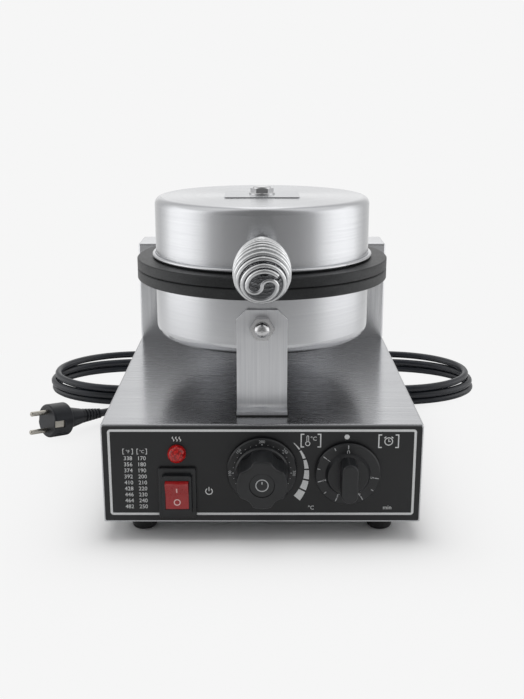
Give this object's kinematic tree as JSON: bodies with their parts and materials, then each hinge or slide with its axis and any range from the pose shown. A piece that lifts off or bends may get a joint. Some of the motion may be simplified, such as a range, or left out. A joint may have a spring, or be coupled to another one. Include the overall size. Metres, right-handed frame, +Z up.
{
  "type": "electric krumkake iron",
  "caption": "Countertop iron for thin round wafers: steel base with dials, switch and lamp, round hinged baking head with a wire handle, and a coiled mains cord.",
  "frame": {"origin": "on the table under the middle of the iron, its cord left out", "axes": "+X to the right of someone facing the controls, +Y from the controls to the hinge, +Z up"},
  "size_m": [0.501, 0.5061, 0.2656],
  "materials": {
    "brushed_steel": "brushed",
    "plated_steel": "polished",
    "plate_metal": "satin",
    "black_rubber": "matte",
    "black_plastic": "satin",
    "red_plastic": "glossy",
    "white_plastic": "matte"
  },
  "bodies": {
    "base": {"base_shell": "brushed_steel", "base_bottom_plate": "brushed_steel", "underside_screws": "plated_steel", "feet": "black_rubber", "terminal_block": "white_plastic", "control_panel": "black_plastic", "control_screws": "plated_steel", "indicator_lens": "red_plastic", "indicator_body": "black_plastic", "indicator_nut": "plated_steel", "switch_housing": "black_plastic", "thermostat_body": "black_plastic", "timer_body": "black_plastic", "front_bracket": "brushed_steel", "bracket_gasket": "black_rubber", "base_nuts": "plated_steel", "front_bolt": "plated_steel", "front_dome_nut": "plated_steel", "lower_housing": "brushed_steel", "lower_plate": "plate_metal", "lower_heating_element": "plated_steel", "lower_heat_shield": "plated_steel", "lower_stud": "plated_steel", "lower_stud_washer": "plated_steel", "lower_stud_nut": "plated_steel", "hinge_pin": "plated_steel", "hinge_pin_clips": "plated_steel", "rear_upright": "brushed_steel", "rear_cover": "brushed_steel", "rear_cover_screws": "plated_steel", "upright_bolts": "plated_steel", "cable_grommet": "black_rubber", "support_conduit": "plated_steel", "conduit_locknuts": "plated_steel", "cord_gland": "black_rubber", "cord_inlet": "black_rubber", "cord_coil": "black_rubber", "cord_lead": "black_rubber", "plug_body": "black_rubber", "plug_pins": "plated_steel", "plug_earth_contacts": "plated_steel"},
    "lid": {"upper_housing": "brushed_steel", "upper_plate": "plate_metal", "upper_heating_element": "plated_steel", "upper_heat_shield": "plated_steel", "lid_stud": "plated_steel", "lid_plate": "brushed_steel", "lid_washer": "plated_steel", "lid_dome_nut": "plated_steel", "handle_coil": "plated_steel", "handle_stud": "plated_steel", "handle_nuts": "plated_steel"},
    "rocker": {"switch_rocker": "red_plastic"},
    "temperature_control": {"temperature_dial": "black_plastic", "temperature_knob": "black_plastic", "temperature_knob_cap": "black_plastic", "thermostat_spindle": "plated_steel"},
    "timer_control": {"timer_knob": "black_plastic", "timer_spindle": "plated_steel"}
  },
  "joints": [
    {"name": "lid_hinge", "type": "hinge", "parent": "base", "child": "lid", "pos_m": [0, 0.0908, 0.2034], "axis": [-1, 0, 0], "range_deg": [0, 105]},
    {"name": "power_rocker", "type": "hinge", "parent": "base", "child": "rocker", "pos_m": [-0.066, -0.1616, 0.0409], "axis": [-1, 0, 0], "range_deg": [0, 24]},
    {"name": "temperature_turn", "type": "hinge", "parent": "base", "child": "temperature_control", "pos_m": [0, -0.1762, 0.0593], "axis": [0, 1, 0], "range_deg": [-137, 137]},
    {"name": "timer_turn", "type": "hinge", "parent": "base", "child": "timer_control", "pos_m": [0.0666, -0.1712, 0.0571], "axis": [0, 1, 0], "range_deg": [0, 262]}
  ]
}
